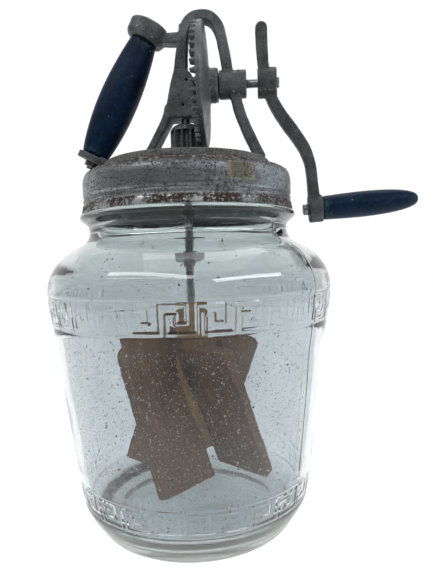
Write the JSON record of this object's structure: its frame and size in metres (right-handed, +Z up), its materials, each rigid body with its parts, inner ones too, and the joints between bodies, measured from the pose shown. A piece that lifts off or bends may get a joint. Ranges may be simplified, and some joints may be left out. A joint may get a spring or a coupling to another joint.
{
  "type": "butter churn",
  "caption": "Hand-cranked glass jar butter churn: screw-on tin lid with cast frame, crank-driven crown gear and pinion, side grip, and a wooden paddle dasher.",
  "frame": {"origin": "centre of the jar's flat base, which rests on the table", "axes": "+Z up along the jar and the dasher rod; +X along the crank shaft, from the gear towards the crank; the side grip is on the -X side"},
  "size_m": [0.2418, 0.184, 0.334],
  "materials": {
    "jar_glass": "clear pressed glass, faintly green-grey, seedy",
    "gasket_rubber": "matt aged rubber",
    "lid_tin": "tinned sheet, pitted and rusted",
    "cast_frame": "dull grey casting, worn edges",
    "cast_gear": "dull grey casting with oily roots",
    "cast_crank": "dull grey casting, worn edges",
    "steel": "tarnished steel",
    "rod_steel": "tinned steel rod, dull",
    "nail_steel": "rusty nails",
    "blue_wood": "dark blue paint on turned wood, worn",
    "paddle_wood": "bare weathered hardwood"
  },
  "bodies": {
    "jar": {"jar": "jar_glass"},
    "seal": {"gasket": "gasket_rubber"},
    "head": {"lid_shell": "lid_tin", "lid_bush": "steel", "frame": "cast_frame", "lower_bracket": "cast_frame", "lid_rivets": "steel", "side_grip": "blue_wood", "grip_rod": "steel", "grip_nut": "steel"},
    "drive": {"crank_shaft": "steel", "drive_gear": "cast_gear", "gear_pin": "steel", "crank_arm": "cast_crank", "handle_pin": "steel"},
    "handle": {"crank_handle": "blue_wood"},
    "dasher": {"pinion": "cast_gear", "pinion_pin": "steel", "dasher_rod": "rod_steel", "splash_disc": "rod_steel", "dasher_hub": "paddle_wood", "hub_pin": "steel", "paddle_1": "paddle_wood", "paddle_2": "paddle_wood", "paddle_3": "paddle_wood", "paddle_4": "paddle_wood", "paddle_nails": "nail_steel"}
  },
  "joints": [
    {"name": "lid_lift", "type": "slide", "parent": "jar", "child": "seal", "axis": [0, 0, 1], "range_m": [0, 0.21]},
    {"name": "lid_turn", "type": "hinge", "parent": "seal", "child": "head", "pos_m": [0, 0, 0.204], "axis": [0, 0, 1], "range_deg": [0, 270]},
    {"name": "crank_turn", "type": "hinge", "parent": "head", "child": "drive", "pos_m": [0.032, 0, 0.287], "axis": [1, 0, 0], "continuous": true},
    {"name": "handle_spin", "type": "hinge", "parent": "drive", "child": "handle", "pos_m": [0.084, 0, 0.2045], "axis": [0.9976, 0, 0.0698], "continuous": true},
    {"name": "dasher_spin", "type": "hinge", "parent": "head", "child": "dasher", "pos_m": [0, 0, 0.24], "axis": [0, 0, 1], "continuous": true}
  ],
  "couplings": [
    {"joint": "dasher_spin", "follows": "crank_turn", "ratio": 4}
  ]
}
